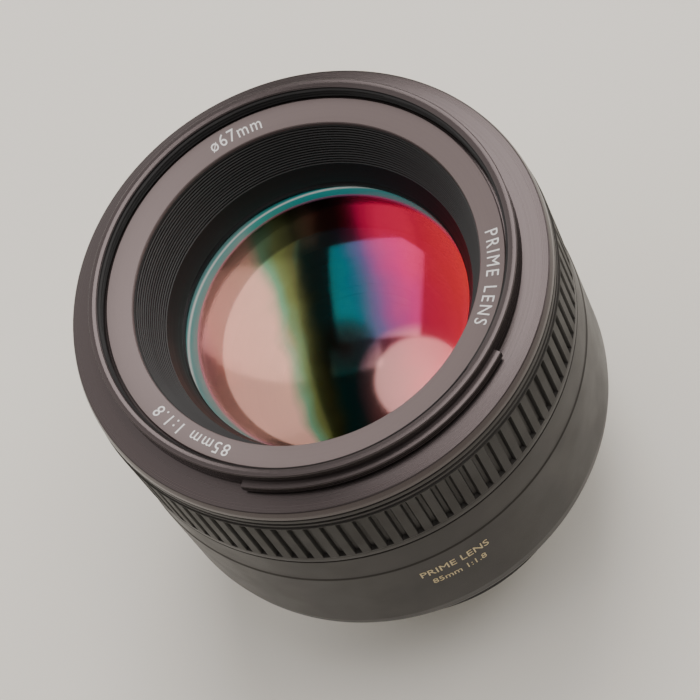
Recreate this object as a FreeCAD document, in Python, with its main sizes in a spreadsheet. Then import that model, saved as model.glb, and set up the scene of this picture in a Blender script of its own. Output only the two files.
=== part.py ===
"""Autofocus 85 mm f/1.8 portrait lens for a 44 mm three-lug bayonet, as an assembly of its pieces.

Frame: millimetres, origin at the centre of the camera-mount flange plane, +Z along the optical
axis to the subject, +Y to the top of the lens (the distance window), +X to the side that carries
the focus-mode switch.  Rest pose: focused at infinity, iris stopped down, switch up.
"""
import FreeCAD
import Part
import math
import os

import Sketcher

SIZES = {
    # bayonet mount
    "flange_radius": 30.0, "flange_height": 2.2, "seat_step": 0.3, "seat_inner": 24.0, "seat_outer": 29.5,
    "throat_radius": 20.6, "spigot_radius": 22.2, "spigot_depth": 5.2,
    "claw_radius": 23.6, "claw_back": 5.0, "claw_height": 1.8, "claw_span": 62.0,
    "mount_screw_circle": 26.8, "mount_screw_head": 1.9, "mount_screw_shank": 1.0,
    "mount_screw_length": 4.5, "driver_slot_width": 0.35, "driver_slot_length": 2.2,
    "driver_slot_depth": 0.4, "lock_hole_radius": 1.75, "lock_hole_depth": 1.6, "lock_hole_circle": 26.8,
    "gasket_radius": 30.8, "gasket_foot": 0.4,
    # rear end
    "contact_inner": 17.0, "contact_outer": 20.5, "contact_depth": 3.0, "contact_span": 66.0,
    "contact_pin_radius": 0.65, "contact_pin_circle": 18.9, "contact_pin_reach": 0.5, "contact_pitch": 6.6,
    "overcut": 0.6, "baffle_foot": 1.0, "baffle_top": 2.2, "baffle_opening": 14.8,
    "dot_radius": 1.1, "dot_height": 6.5, "dot_reach": 31.35, "dot_foot": 30.2,
    # outer barrel
    "neck_radius": 31.0, "neck_top": 9.5, "neck_bore": 29.4, "neck_bore_top": 10.7, "flare_radius": 36.4,
    "flare_height": 16.7, "flare_bore_height": 17.7, "shoulder_radius": 39.2, "shoulder_height": 20.2,
    "shell_wall": 1.6, "barrel_radius": 40.0, "barrel_foot_round": 2.8, "step_height": 42.0,
    "step_drop": 0.4, "barrel_front_radius": 39.8, "barrel_top": 49.6, "barrel_bore": 38.3,
    "lip_height": 1.6, "shelf_foot": 39.0, "shelf_top": 40.0, "shelf_bore": 31.2,
    # window, scale and focus-mode switch
    "window_foot": 30.4, "window_height": 7.6, "window_span": 36.0, "window_inner": 38.6,
    "window_outer": 39.9, "ledge": 0.8, "ledge_span": 1.5,
    "drum_inner": 35.6, "drum_outer": 36.2, "drum_foot": 29.4, "drum_height": 9.2, "web_height": 1.0,
    "plate_foot": 26.5, "plate_height": 13.0, "plate_span": 30.0, "plate_inner": 38.4, "plate_outer": 39.95,
    "slot_half": 3.1, "slot_foot": 31.3, "slot_height": 3.4,
    "knob_foot": 31.5, "knob_height": 3.0, "knob_width": 2.4, "knob_reach": 41.0, "knob_rest": 0.55,
    "slider_inner": 36.7, "slider_thick": 0.8, "slider_height": 5.4, "slider_width": 4.4,
    # focus ring and its bearing sleeve
    "sleeve_radius": 37.2, "sleeve_bore": 35.8, "ring_bore": 37.28, "ring_foot": 49.9, "ring_top": 66.4,
    "band_radius": 39.8, "band_top": 51.3, "grip_bed": 38.9, "grip_radius": 39.85, "grip_top": 64.0,
    "ridge_radius": 39.65, "ridge_groove": 39.25, "ridge_split": 65.2, "ridge_gap": 0.25,
    "manual_inner": 31.6, "manual_outer": 35.6, "manual_foot": 52.1, "manual_top": 57.0,
    "key_root": 35.1, "key_foot": 53.0, "key_height": 3.0, "key_span": 8.0, "key_angle": 20.0,
    "key_travel": 170.0, "key_slot_foot": 52.7, "key_slot_height": 3.6, "key_slot_margin": 2.0,
    # front end
    "nose_radius": 39.6, "nose_foot": 66.75, "nose_edge": 39.18, "nose_edge_height": 68.7,
    "nose_top": 69.2, "web_foot": 67.4, "web_top": 68.4, "web_bore": 29.5,
    "rim_radius": 35.0, "rim_height": 73.0, "thread_radius": 33.5, "rim_bevel": 0.25, "thread_foot": 71.0,
    "ring_seat": 32.7, "ring_floor": 69.3,
    "hood_lug_radius": 36.2, "hood_lug_root": 34.0, "hood_lug_foot": 69.8, "hood_lug_height": 1.45,
    "hood_lug_span": 75.7,
    "name_outer": 32.56, "name_outer_height": 70.92, "name_inner": 28.5, "name_inner_height": 70.06,
    "name_edge_height": 70.6,
    "cone_foot": 24.1, "cone_top": 28.25, "cone_foot_height": 58.3, "cone_wall_height": 66.5,
    "retainer_opening": 23.9, "retainer_foot": 57.1,
    # front cell and guide sleeve
    "cell_radius": 27.2, "cell_foot": 35.3, "cell_opening": 16.6,
    "seat1": 55.28, "seat2": 45.0, "seat3": 39.7, "seat4": 36.2,
    "blank_height": 30.0, "blank_below": 10.0, "guide_bore": 27.2, "guide_radius": 28.5, "guide_top": 51.0,
    "guide_flange": 29.3, "guide_flange_top": 4.5, "guide_slot_half": 1.3,
    # iris
    "iris_open": 15.4, "iris_base_foot": 31.2, "iris_base_top": 32.0, "iris_cover_foot": 34.7,
    "pivot_circle": 23.8, "pivot_radius": 0.58, "pivot_hole": 0.65, "blade_foot": 32.1, "blade_thick": 0.1,
    "blade_pitch": 0.14, "blade_outer": 21.2, "blade_sweep": 128.0, "blade_swing": 33.0, "blade_arm": 5.0,
    "blade_lead": 4.0, "tab_root": 1.0, "tab_span": 8.0, "pivot_land": 1.2, "follower_land": 0.9,
    "pivot_lift": 0.1, "blade_pin": 0.5, "blade_pin_top": 34.3, "first_pivot": 168.0,
    "vane_ring_inner": 21.6, "vane_ring_outer": 27.1, "vane_ring_foot": 33.4, "vane_ring_top": 34.4,
    "vane_slot_half": 0.6, "lever_travel": 15.0,
    "bar_inner": 23.5, "bar_outer": 25.2, "bar_span": 5.0, "bar_angle": 180.0, "bar_foot": 3.6,
    "arm_top": 5.0, "lever_inner": 18.8, "lever_outer": 20.2, "lever_reach": 4.2, "lever_span": 11.0,
    "bar_gap": 0.5, "bar_clearance": 3.0, "tip_clearance": 4.5,
    # focusing group
    "group_bore": 15.8, "group_wall": 18.0, "group_foot": 5.5, "group_top": 24.5, "group_travel": 6.0,
    "rim_bore": 25.7, "rim_run": 27.12, "rim_foot": 14.0, "rim_top": 25.0, "disc_foot": 18.0,
    "disc_top": 22.0, "cam_pin_radius": 1.2, "cam_pin_root": 25.9, "cam_pin_end": 30.2,
    "cam_pin_height": 20.0,
    "rear_retainer_bore": 14.9, "rear_retainer_top": 6.9,
    # drive ring, differential rollers and ring motor
    "drive_bore": 28.58, "drive_radius": 30.4, "drive_foot": 13.4, "drive_top": 51.5, "drive_turn": 85.0,
    "cam_slot_half": 1.45, "cam_slot_run_on": 4.0,
    "roller_radius": 1.9, "roller_bore": 0.62, "axle_radius": 0.55, "roller_inner": 31.8,
    "roller_outer": 34.8, "axle_start": 28.78, "axle_end": 35.2, "axle_head": 1.1, "head_gap": 0.1,
    "roller_height": 50.1,
    "motor_inner": 31.6, "motor_outer": 35.4, "rotor_foot": 44.5, "rotor_top": 48.1,
    "stator_foot": 41.0, "stator_slot": 1.2, "tooth_gap_half": 0.2, "board_inner": 31.2,
    "board_height": 1.2,
}

# The nine glass elements: rear vertex, front vertex, rear and front radius of curvature, edge radius.
# A radius is positive where the surface bulges out of the glass, negative where it is hollow.
ELEMENTS = {
    1: (52.4, 61.8, 90.0, 62.0, 24.4),
    2: (47.4, 51.9, -110.0, 45.0, 22.6),
    3: (43.2, 46.9, -60.0, 36.0, 20.0),
    4: (39.9, 41.6, -48.0, 95.0, 18.4),
    5: (22.0, 24.3, -75.0, 50.0, 15.8),
    6: (19.4, 21.2, -32.0, 80.0, 15.8),
    7: (13.6, 18.6, 900.0, 36.0, 15.8),
    8: (9.6, 10.8, 900.0, -48.0, 15.8),
    9: (5.9, 9.3, 110.0, 90.0, 15.8),
}
ELEMENT_FIELDS = ("rear", "front", "rear_curve", "front_curve", "edge")

BLADES = 7
MOUNT_SCREWS = 4
CLAWS = 3
CONTACTS = 8
ROLLERS = 3
CAM_PINS = 3
STATOR_TEETH = 40

# Directions about the optical axis, in degrees from +X.
SIDE = 18.0
TOP = 90.0
BOTTOM = 270.0
FIRST_CLAW = 30.0
FIRST_SCREW = 45.0
FIRST_CAM = 30.0
FIRST_ROLLER = 90.0

Z_AXIS = FreeCAD.Vector(0, 0, 1)
doc = FreeCAD.newDocument("prime_lens")


def make_sheet():
    sheet = doc.addObject("Spreadsheet::Sheet", "Sizes")
    values = dict(SIZES)
    for number, numbers in ELEMENTS.items():
        for field, value in zip(ELEMENT_FIELDS, numbers):
            values["glass{}_{}".format(number, field)] = value
    for row, (alias, value) in enumerate(values.items(), start=1):
        sheet.set("A{}".format(row), alias)
        sheet.set("B{}".format(row), str(value))
        sheet.setAlias("B{}".format(row), alias)
    doc.recompute()
    return sheet


sheet = make_sheet()


def size(alias):
    """The value of one cell, for shapes that are worked out in code."""
    return float(getattr(sheet, alias))


def cells(expression):
    """Writes the sheet's name in front of each alias of an expression."""
    words = []
    for word in expression.split():
        named = word.replace("_", "").isalnum() and not word.replace(".", "").isdigit()
        words.append("Sizes." + word if named else word)
    return " ".join(words)


def bind(thing, **expressions):
    for name, expression in expressions.items():
        thing.setExpression(name, cells(expression))


def place(thing, x="0", y="0", z="0", axis=Z_AXIS, degrees=0.0):
    thing.Placement = FreeCAD.Placement(FreeCAD.Vector(0, 0, 0), FreeCAD.Rotation(axis, degrees))
    for name, expression in (("x", x), ("y", y), ("z", z)):
        thing.setExpression("Placement.Base." + name, cells(expression))


# --- building blocks -------------------------------------------------------------------------

def plane(body, role):
    return [item for item in body.Origin.OriginFeatures if item.Role == role][0]


def outline(body, points, name="Section", role="XZ_Plane"):
    """A closed sketch on one of the body's planes, one pair of expressions per corner.

    On the XZ plane each pair is a radius and a height, on the XY plane it is x and y.
    """
    sketch = body.newObject("Sketcher::SketchObject", name)
    sketch.AttachmentSupport = [(plane(body, role), "")]
    sketch.MapMode = "FlatFace"
    count = len(points)
    turn = 2 * math.pi / count
    corners = [FreeCAD.Vector(30 + math.cos(i * turn), 30 - math.sin(i * turn), 0) for i in range(count)]
    for i in range(count):
        sketch.addGeometry(Part.LineSegment(corners[i], corners[(i + 1) % count]), False)
    for i in range(count):
        sketch.addConstraint(Sketcher.Constraint("Coincident", i, 2, (i + 1) % count, 1))
    for i, (radius, height) in enumerate(points):
        across = sketch.addConstraint(Sketcher.Constraint("DistanceX", i, 1, corners[i].x))
        up = sketch.addConstraint(Sketcher.Constraint("DistanceY", i, 1, corners[i].y))
        sketch.setExpression("Constraints[{}]".format(across), cells(radius))
        sketch.setExpression("Constraints[{}]".format(up), cells(height))
    return sketch


def turned(label, points):
    """A turned piece: its section revolved about the optical axis."""
    body = doc.addObject("PartDesign::Body", "Body_" + label)
    body.Label = label
    sketch = outline(body, points)
    doc.recompute()
    turn = body.newObject("PartDesign::Revolution", "Turned")
    turn.Profile = sketch
    turn.ReferenceAxis = (sketch, ["V_Axis"])
    turn.Angle = 360.0
    doc.recompute()
    return body


def box_ring(label, inner, outer, foot, top):
    return turned(label, [(inner, foot), (outer, foot), (outer, top), (inner, top)])


def cylinder(radius, height, **where):
    rod = doc.addObject("Part::Cylinder", "Rod")
    bind(rod, Radius=radius, Height=height)
    place(rod, **where)
    return rod


def radial_rod(radius, inner, outer, height, degrees):
    """A round rod that points away from the optical axis."""
    rod = doc.addObject("Part::Cylinder", "RadialRod")
    bind(rod, Radius=radius, Height=outer + " - ( " + inner + " )")
    across = FreeCAD.Rotation(FreeCAD.Vector(0, 1, 0), 90)
    rod.Placement = FreeCAD.Placement(FreeCAD.Vector(), FreeCAD.Rotation(Z_AXIS, degrees) * across)
    cosine = math.cos(math.radians(degrees))
    sine = math.sin(math.radians(degrees))
    rod.setExpression("Placement.Base.x", "{:.9f} * ({})".format(cosine, cells(inner)))
    rod.setExpression("Placement.Base.y", "{:.9f} * ({})".format(sine, cells(inner)))
    rod.setExpression("Placement.Base.z", cells(height))
    return rod


def sector(inner, outer, foot, height, centre, span):
    """A piece of ring, centred on an angle about the optical axis."""
    solid = doc.addObject("Part::Cylinder", "SectorOuter")
    bind(solid, Radius=outer, Height=height, Angle=span)
    hole = doc.addObject("Part::Cylinder", "SectorInner")
    bind(hole, Radius=inner, Height=height)
    piece = doc.addObject("Part::Cut", "Sector")
    piece.Base = solid
    piece.Tool = hole
    place(piece, z=foot)
    bind(piece, **{"Placement.Rotation.Angle": "( {} ) - ( {} ) / 2".format(centre, span)})
    return piece


def cut(label, base, tools):
    """The base with every tool taken out of it."""
    for tool in tools:
        result = doc.addObject("Part::Cut", "Cut")
        result.Base = base
        result.Tool = tool
        base = result
    base.Label = label
    return base


def fuse(label, pieces):
    result = doc.addObject("Part::MultiFuse", "Fused")
    result.Shapes = pieces
    result.Refine = True
    result.Label = label
    return result


def group(label, pieces):
    """Identical small pieces, each its own solid, kept together as one node."""
    result = doc.addObject("Part::Compound", "Group")
    result.Links = pieces
    result.Label = label
    return result


def around(count, first=0.0):
    return [first + i * 360.0 / count for i in range(count)]


def polar(radius, degrees, height=0.0):
    turn = math.radians(degrees)
    return FreeCAD.Vector(radius * math.cos(turn), radius * math.sin(turn), height)


# --- bayonet mount and rear end --------------------------------------------------------------

def bayonet_mount():
    plate = turned("mount_turned", [
        ("throat_radius", "0 - spigot_depth"), ("spigot_radius", "0 - spigot_depth"),
        ("spigot_radius", "seat_step"), ("seat_inner", "seat_step"), ("seat_inner", "0"),
        ("seat_outer", "0"), ("flange_radius", "seat_step"), ("flange_radius", "flange_height"),
        ("throat_radius", "flange_height")])
    claws = []
    for degrees in around(CLAWS, FIRST_CLAW):
        claw = sector("throat_radius", "claw_radius", "0 - claw_back", "claw_height",
                      str(degrees), "claw_span")
        claws.append(claw)
    blank = fuse("mount_blank", [plate] + claws)
    tools = [screw_shape(degrees) for degrees in around(MOUNT_SCREWS, FIRST_SCREW)]
    tools.append(cylinder("lock_hole_radius", "lock_hole_depth", x="lock_hole_circle"))
    return cut("bayonet_mount", blank, tools)


def screw_shape(degrees):
    """A countersunk screw, its flat head flush with the flange, driven towards +Z."""
    head = doc.addObject("Part::Cone", "Head")
    bind(head, Radius1="mount_screw_head", Radius2="mount_screw_shank",
         Height="mount_screw_head - mount_screw_shank")
    shank = doc.addObject("Part::Cylinder", "Shank")
    bind(shank, Radius="mount_screw_shank", Height="mount_screw_length")
    screw = fuse("Screw", [head, shank])
    spot = polar(size("mount_screw_circle"), degrees)
    screw.Placement = FreeCAD.Placement(spot, FreeCAD.Rotation())
    return screw


def driver_slot(length, width):
    slot = doc.addObject("Part::Box", "DriverSlot")
    bind(slot, Length=length, Width=width, Height="driver_slot_depth")
    place(slot, x="0 - {} / 2".format(length), y="0 - {} / 2".format(width))
    return slot


def mount_screws():
    screws = []
    for degrees in around(MOUNT_SCREWS, FIRST_SCREW):
        cross = fuse("Cross", [driver_slot("driver_slot_length", "driver_slot_width"),
                               driver_slot("driver_slot_width", "driver_slot_length")])
        cross.Placement = FreeCAD.Placement(polar(size("mount_screw_circle"), degrees), FreeCAD.Rotation())
        screws.append(cut("CrossScrew", screw_shape(degrees), [cross]))
    return group("mount_screws", screws)


def mount_gasket():
    return box_ring("mount_gasket", "flange_radius", "gasket_radius", "gasket_foot", "flange_height")


def contact_block():
    block = sector("contact_inner", "contact_outer", "0 - contact_depth",
                   "contact_depth + baffle_foot", str(TOP), "contact_span")
    block.Label = "contact_block"
    return block


def contact_pins():
    pins = []
    first = TOP - size("contact_pitch") * (CONTACTS - 1) / 2
    for i in range(CONTACTS):
        pin = cylinder("contact_pin_radius", "contact_pin_reach", z="0 - contact_depth - contact_pin_reach")
        spot = polar(size("contact_pin_circle"), first + i * size("contact_pitch"))
        place_xy(pin, spot)
        pins.append(pin)
    return group("contact_pins", pins)


def place_xy(thing, spot):
    thing.setExpression("Placement.Base.x", "{:.9f}".format(spot.x))
    thing.setExpression("Placement.Base.y", "{:.9f}".format(spot.y))


def rear_baffle():
    plate = box_ring("baffle_plate", "baffle_opening", "throat_radius", "baffle_foot", "baffle_top")
    lever_way = sector("lever_inner - bar_gap", "throat_radius + overcut", "baffle_foot - overcut",
                       "baffle_top - baffle_foot + 2 * overcut", "bar_angle + lever_travel / 2",
                       "lever_travel + lever_span + 2 * tip_clearance")
    return cut("rear_baffle", plate, [lever_way])


def rear_barrel():
    cone = turned("rear_cone", [
        ("neck_bore", "flange_height"), ("gasket_radius", "flange_height"),
        ("neck_radius", "neck_top"), ("flare_radius", "flare_height"),
        ("shoulder_radius", "shoulder_height"), ("shoulder_radius - shell_wall", "shoulder_height"),
        ("flare_radius - shell_wall", "flare_bore_height"), ("neck_bore", "neck_bore_top")])
    seat = radial_rod("dot_radius", "dot_foot", "dot_reach", "dot_height", TOP)
    return cut("rear_barrel", cone, [seat])


def index_dot():
    dot = radial_rod("dot_radius", "dot_foot", "dot_reach", "dot_height", TOP)
    dot.Label = "index_dot"
    return dot


# --- outer barrel ----------------------------------------------------------------------------

def main_barrel():
    tube = turned("barrel_tube", [
        ("barrel_bore", "shoulder_height"), ("shoulder_radius", "shoulder_height"),
        ("barrel_radius", "shoulder_height + barrel_foot_round"), ("barrel_radius", "step_height"),
        ("barrel_front_radius", "step_height + step_drop"), ("barrel_front_radius", "barrel_top"),
        ("sleeve_bore", "barrel_top"), ("sleeve_bore", "barrel_top - lip_height"),
        ("barrel_bore", "barrel_top - lip_height"), ("barrel_bore", "shelf_top"),
        ("shelf_bore", "shelf_top"), ("shelf_bore", "shelf_foot"), ("barrel_bore", "shelf_foot")])
    window = sector("window_inner", "barrel_radius + overcut", "window_foot", "window_height",
                    str(TOP), "window_span")
    view = sector("barrel_bore - overcut", "window_inner", "window_foot + ledge",
                  "window_height - 2 * ledge", str(TOP), "window_span - 2 * ledge_span")
    panel = sector("plate_inner", "barrel_radius + overcut", "plate_foot", "plate_height",
                   str(SIDE), "plate_span")
    way = sector("barrel_bore - overcut", "plate_inner", "plate_foot + ledge", "plate_height - 2 * ledge",
                 str(SIDE), "plate_span - 2 * ledge_span")
    return cut("main_barrel", tube, [window, view, panel, way])


def scale_window():
    pane = sector("window_inner", "window_outer", "window_foot", "window_height", str(TOP), "window_span")
    pane.Label = "scale_window"
    return pane


def turned_to_side(thing):
    """Turns a piece made across +X to where the focus-mode switch is."""
    place(thing, degrees=SIDE)
    return thing


def switch_plate():
    panel = sector("plate_inner", "plate_outer", "plate_foot", "plate_height", "0", "plate_span")
    slot = doc.addObject("Part::Box", "SwitchSlot")
    bind(slot, Length="plate_outer - plate_inner + 2 * overcut", Width="2 * slot_half",
         Height="slot_height")
    place(slot, x="plate_inner - overcut", y="0 - slot_half", z="slot_foot")
    return turned_to_side(cut("switch_plate", panel, [slot]))


def mode_switch():
    knob = doc.addObject("Part::Box", "Knob")
    bind(knob, Length="knob_reach - slider_inner", Width="knob_width", Height="knob_height")
    place(knob, x="slider_inner", y="knob_rest", z="knob_foot")
    foot = doc.addObject("Part::Box", "SliderFoot")
    bind(foot, Length="slider_thick", Width="slider_width", Height="slider_height")
    place(foot, x="slider_inner", y="knob_rest + ( knob_width - slider_width ) / 2",
          z="knob_foot + ( knob_height - slider_height ) / 2")
    return turned_to_side(fuse("mode_switch", [knob, foot]))


# --- front end -------------------------------------------------------------------------------

def front_barrel():
    nose = turned("nose_turned", [
        ("web_bore", "web_foot"), ("sleeve_bore", "web_foot"), ("sleeve_bore", "barrel_top"),
        ("sleeve_radius", "barrel_top"), ("sleeve_radius", "nose_foot"), ("nose_radius", "nose_foot"),
        ("nose_edge", "nose_edge_height"), ("rim_radius", "nose_top"), ("rim_radius", "web_top"),
        ("web_bore", "web_top")])
    key_way = sector("sleeve_bore - overcut", "sleeve_radius + overcut", "key_slot_foot", "key_slot_height",
                     "key_angle + key_travel / 2", "key_travel + key_span + 2 * key_slot_margin")
    return cut("front_barrel", nose, [key_way])


def filter_collar():
    collar = turned("collar_turned", [
        ("web_bore", "web_top"), ("rim_radius", "web_top"), ("rim_radius", "rim_height - rim_bevel"),
        ("rim_radius - rim_bevel", "rim_height"), ("thread_radius + rim_bevel", "rim_height"),
        ("thread_radius", "rim_height - rim_bevel"), ("thread_radius", "thread_foot"),
        ("ring_seat", "thread_foot"), ("ring_seat", "ring_floor"), ("web_bore", "ring_floor")])
    lugs = [sector("hood_lug_root", "hood_lug_radius", "hood_lug_foot", "hood_lug_height",
                   str(centre), "hood_lug_span") for centre in (TOP, BOTTOM)]
    return fuse("filter_collar", [collar] + lugs)


def name_ring():
    return turned("name_ring", [
        ("name_inner", "ring_floor"), ("ring_seat", "ring_floor"),
        ("ring_seat", "name_edge_height"), ("name_outer", "name_outer_height"),
        ("name_inner", "name_inner_height")])


def front_baffle():
    return turned("front_baffle", [
        ("cone_foot", "cone_foot_height"), ("cell_radius", "cone_foot_height"),
        ("web_bore", "cone_wall_height"), ("web_bore", "ring_floor"), ("cone_top", "ring_floor")])


def front_retaining_ring():
    return box_ring("front_retaining_ring", "retainer_opening", "cell_radius",
                    "retainer_foot", "cone_foot_height")


def front_cell():
    return turned("front_cell", [
        ("cell_opening", "cell_foot"), ("cell_radius", "cell_foot"), ("cell_radius", "retainer_foot"),
        ("glass1_edge", "retainer_foot"), ("glass1_edge", "seat1"), ("glass2_edge", "seat1"),
        ("glass2_edge", "seat2"), ("glass3_edge", "seat2"), ("glass3_edge", "seat3"),
        ("glass4_edge", "seat3"), ("glass4_edge", "seat4"), ("cell_opening", "seat4")])


def glass(number):
    """One element: a round blank cut to its two spherical surfaces."""
    prefix = "glass{}_".format(number)
    blank = cylinder(prefix + "edge", "blank_height", z=prefix + "rear - blank_below")
    result = blank
    for side, sign in (("front", "-"), ("rear", "+")):
        curve = size(prefix + side + "_curve")
        ball = doc.addObject("Part::Sphere", "Surface")
        if curve > 0:
            bind(ball, Radius=prefix + side + "_curve")
            kind = "Part::Common"
        else:
            bind(ball, Radius="0 - " + prefix + side + "_curve")
            kind = "Part::Cut"
        place(ball, z="{} {} {}".format(prefix + side, sign, prefix + side + "_curve"))
        shaped = doc.addObject(kind, "Ground")
        shaped.Base = result
        shaped.Tool = ball
        result = shaped
    result.Label = "lens_element_{}".format(number)
    return result


# --- focus ring ------------------------------------------------------------------------------

def focus_ring():
    shell = turned("focus_shell", [
        ("ring_bore", "ring_foot"), ("band_radius", "ring_foot"), ("band_radius", "band_top"),
        ("grip_bed", "band_top"), ("grip_bed", "grip_top"), ("ridge_radius", "grip_top"),
        ("ridge_radius", "ridge_split - ridge_gap"), ("ridge_groove", "ridge_split"),
        ("ridge_radius", "ridge_split + ridge_gap"), ("ridge_radius", "ring_top"),
        ("ring_bore", "ring_top")])
    shell.Label = "focus_ring"
    return shell


def focus_grip():
    return box_ring("focus_grip", "grip_bed", "grip_radius", "band_top", "grip_top")


def manual_ring():
    """The inner ring that presses on the rollers, keyed through the sleeve to the focus ring."""
    ring = box_ring("manual_turned", "manual_inner", "manual_outer", "manual_foot", "manual_top")
    key = sector("key_root", "ring_bore", "key_foot", "key_height", "key_angle", "key_span")
    return fuse("manual_ring", [ring, key])


# --- drive ring, rollers and motor -----------------------------------------------------------

def cam_slot(degrees):
    """The helical way of one cam pin, cut through the drive ring.

    The ring turns ahead of the pin, so the pin's way leans back as it climbs.
    """
    lift = size("group_travel")
    turn = size("drive_turn")
    run_on = size("cam_slot_run_on")
    pitch = lift * 360.0 / turn
    height = lift * (turn + 2 * run_on) / turn
    foot = size("cam_pin_height") - lift * run_on / turn
    inner = size("drive_bore") - size("overcut")
    outer = size("drive_radius") + size("overcut")
    half = size("cam_slot_half")
    path = Part.makeHelix(pitch, height, inner, 0, True)
    corners = [(inner, -half), (outer, -half), (outer, half), (inner, half), (inner, -half)]
    profile = Part.makePolygon([FreeCAD.Vector(r, 0, z) for r, z in corners])
    way = Part.Wire(path.Edges).makePipeShell([profile], True, True)
    slot = doc.addObject("Part::Feature", "CamSlot")
    slot.Shape = way
    turned_to = FreeCAD.Rotation(Z_AXIS, degrees + run_on)
    slot.Placement = FreeCAD.Placement(FreeCAD.Vector(0, 0, foot), turned_to)
    return slot


def drive_ring():
    ring = turned("drive_turned", [
        ("drive_bore", "drive_foot"), ("drive_radius", "drive_foot"), ("drive_radius", "drum_foot"),
        ("drum_inner", "drum_foot"), ("drum_inner", "drum_foot + web_height"),
        ("drive_radius", "drum_foot + web_height"), ("drive_radius", "drive_top"),
        ("drive_bore", "drive_top")])
    tools = [cam_slot(degrees) for degrees in around(CAM_PINS, FIRST_CAM)]
    for degrees in around(ROLLERS, FIRST_ROLLER):
        tools.append(radial_rod("axle_radius", "drive_bore - overcut", "drive_radius + overcut",
                                "roller_height", degrees))
    return cut("drive_ring", ring, tools)


def distance_scale():
    return box_ring("distance_scale", "drum_inner", "drum_outer", "drum_foot", "drum_foot + drum_height")


def roller_axles():
    axles = []
    for degrees in around(ROLLERS, FIRST_ROLLER):
        shaft = radial_rod("axle_radius", "axle_start", "axle_end", "roller_height", degrees)
        head = radial_rod("axle_head", "roller_outer + head_gap", "axle_end", "roller_height", degrees)
        axles.append(fuse("Axle", [shaft, head]))
    return group("roller_axles", axles)


def roller(number):
    degrees = around(ROLLERS, FIRST_ROLLER)[number - 1]
    wheel = radial_rod("roller_radius", "roller_inner", "roller_outer", "roller_height", degrees)
    bore = radial_rod("roller_bore", "roller_inner - overcut", "roller_outer + overcut",
                      "roller_height", degrees)
    return cut("roller_{}".format(number), wheel, [bore])


def motor_rotor():
    return box_ring("motor_rotor", "motor_inner", "motor_outer", "rotor_foot", "rotor_top")


def motor_stator():
    """The vibrating ring, with radial slots that let its face travel as a wave."""
    body = box_ring("motor_stator", "motor_inner", "motor_outer", "stator_foot", "rotor_foot")
    inner, outer = "motor_inner - overcut", "motor_outer + overcut"
    sketch = outline(body, [(inner, "0 - tooth_gap_half"), (outer, "0 - tooth_gap_half"),
                            (outer, "tooth_gap_half"), (inner, "tooth_gap_half")], "Tooth", "XY_Plane")
    sketch.setExpression("AttachmentOffset.Base.z", cells("rotor_foot"))
    doc.recompute()
    gap = body.newObject("PartDesign::Pocket", "ToothGap")
    gap.Profile = sketch
    gap.Type = 0
    gap.setExpression("Length", cells("stator_slot"))
    gap.Reversed = False
    doc.recompute()
    teeth = body.newObject("PartDesign::PolarPattern", "Teeth")
    teeth.Originals = [gap]
    teeth.Axis = (sketch, ["N_Axis"])
    teeth.Angle = 360
    teeth.Occurrences = STATOR_TEETH
    body.Tip = teeth
    doc.recompute()
    return body


def motor_spring():
    return box_ring("motor_spring", "motor_inner", "motor_outer", "shelf_top", "stator_foot")


def circuit_board():
    return box_ring("circuit_board", "board_inner", "barrel_bore", "shoulder_height",
                    "shoulder_height + board_height")


# --- guide sleeve and focusing group ---------------------------------------------------------

def guide_sleeve():
    sleeve = turned("guide_turned", [
        ("guide_bore", "flange_height"), ("guide_flange", "flange_height"),
        ("guide_flange", "guide_flange_top"),
        ("guide_radius", "guide_flange_top"), ("guide_radius", "guide_top"), ("guide_bore", "guide_top")])
    tools = []
    for degrees in around(CAM_PINS, FIRST_CAM):
        way = doc.addObject("Part::Box", "GuideSlot")
        bind(way, Length="guide_radius - guide_bore + 2 * overcut", Width="2 * guide_slot_half",
             Height="group_travel + 2 * guide_slot_half")
        turn = FreeCAD.Rotation(Z_AXIS, degrees)
        half = size("guide_slot_half")
        corner = FreeCAD.Vector(size("guide_bore") - size("overcut"), -half, size("cam_pin_height") - half)
        way.Placement = FreeCAD.Placement(turn.multVec(corner), turn)
        tools.append(way)
    tools += [screw_shape(degrees) for degrees in around(MOUNT_SCREWS, FIRST_SCREW)]
    return cut("guide_sleeve", sleeve, tools)


def focus_carrier():
    hub = turned("carrier_turned", [
        ("group_bore", "group_foot"), ("group_wall", "group_foot"), ("group_wall", "disc_foot"),
        ("rim_bore", "disc_foot"), ("rim_bore", "rim_foot"), ("rim_run", "rim_foot"),
        ("rim_run", "rim_top"),
        ("rim_bore", "rim_top"), ("rim_bore", "disc_top"), ("group_wall", "disc_top"),
        ("group_wall", "group_top"), ("group_bore", "group_top")])
    lever_way = sector("bar_inner - bar_gap", "rim_bore", "disc_foot - overcut",
                       "disc_top - disc_foot + 2 * overcut",
                       "bar_angle + lever_travel / 2", "lever_travel + bar_span + 2 * bar_clearance")
    tools = [lever_way]
    for degrees in around(CAM_PINS, FIRST_CAM):
        tools.append(radial_rod("cam_pin_radius", "cam_pin_root", "cam_pin_end", "cam_pin_height", degrees))
    return cut("focus_carrier", hub, tools)


def cam_pins():
    return group("cam_pins", [
        radial_rod("cam_pin_radius", "cam_pin_root", "cam_pin_end", "cam_pin_height", degrees)
        for degrees in around(CAM_PINS, FIRST_CAM)])


def rear_retaining_ring():
    return box_ring("rear_retaining_ring", "rear_retainer_bore", "group_bore", "group_foot",
                    "rear_retainer_top")


# --- iris ------------------------------------------------------------------------------------

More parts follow.
